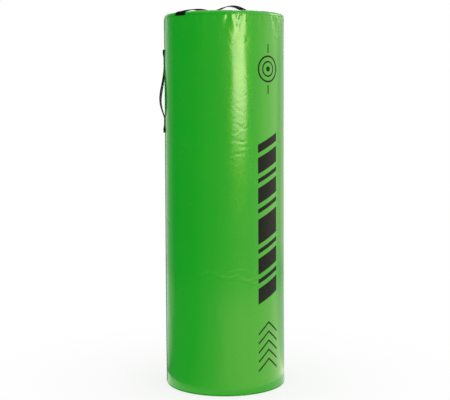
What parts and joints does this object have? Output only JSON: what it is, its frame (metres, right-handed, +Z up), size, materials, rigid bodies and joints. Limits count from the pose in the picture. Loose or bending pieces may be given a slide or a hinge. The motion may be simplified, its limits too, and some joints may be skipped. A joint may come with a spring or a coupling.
{
  "type": "tackling bag",
  "caption": "Free-standing cylindrical tackling bag: foam core in a sewn glossy PVC cover, webbing handle on the side and over the top, zipped base under a storm flap.",
  "frame": {"origin": "centre of the base on the bag's axis, on the face that the bag stands on", "axes": "+Z up along the bag's axis; the side handle is at -X; the top handle runs from (-X, -Y) to (+X, +Y); -Y is the side the picture shows"},
  "size_m": [0.4685, 0.45, 1.4316],
  "materials": {
    "cover_pvc": "gloss",
    "base_pvc": "satin",
    "backing": "matte",
    "webbing": "matte",
    "binding": "matte",
    "core_foam": "matte",
    "soft_foam": "matte",
    "zip_tape": "matte",
    "zip_teeth": "satin",
    "slider_metal": "satin",
    "hook_and_loop": "matte"
  },
  "bodies": {
    "root": {"side_panel": "cover_pvc", "top_panel": "cover_pvc", "base_panel": "base_pvc", "top_seam_binding": "binding", "base_seam_binding": "binding", "top_handle_strap": "webbing", "top_handle_front_patch": "backing", "top_handle_rear_patch": "backing", "side_handle_strap": "webbing", "side_handle_upper_patch": "backing", "side_handle_lower_patch": "backing", "firm_core": "core_foam", "soft_sleeve_inner": "soft_foam", "soft_sleeve_outer": "soft_foam", "top_pad": "soft_foam", "base_pad": "soft_foam", "zip_tape_front": "zip_tape", "zip_tape_rear": "zip_tape", "zip_teeth_front": "zip_teeth", "zip_teeth_rear": "zip_teeth", "zip_bottom_stop": "zip_teeth", "zip_top_stop_front": "zip_teeth", "zip_top_stop_rear": "zip_teeth", "flap_hem": "base_pvc", "loop_strip": "hook_and_loop"},
    "flap": {"storm_flap": "base_pvc", "hook_strip": "hook_and_loop"},
    "slider": {"zip_slider": "slider_metal"},
    "pull": {"zip_pull": "slider_metal"}
  },
  "joints": [
    {"name": "flap_hinge", "type": "hinge", "parent": "root", "child": "flap", "pos_m": [0, 0.016, 0.0031], "axis": [-1, 0, 0], "range_deg": [0, 140]},
    {"name": "zip_slide", "type": "slide", "parent": "root", "child": "slider", "axis": [-1, 0, 0], "range_m": [0, 0.258], "deforming": ["zip_teeth_front", "zip_teeth_rear"]},
    {"name": "pull_hinge", "type": "hinge", "parent": "slider", "child": "pull", "pos_m": [0.1446, 0.05, 0.0059], "axis": [0, -1, 0], "range_deg": [0, 84]}
  ],
  "couplings": [
    {"joint": "pull_hinge", "follows": "flap_hinge", "ratio": 0.6}
  ]
}
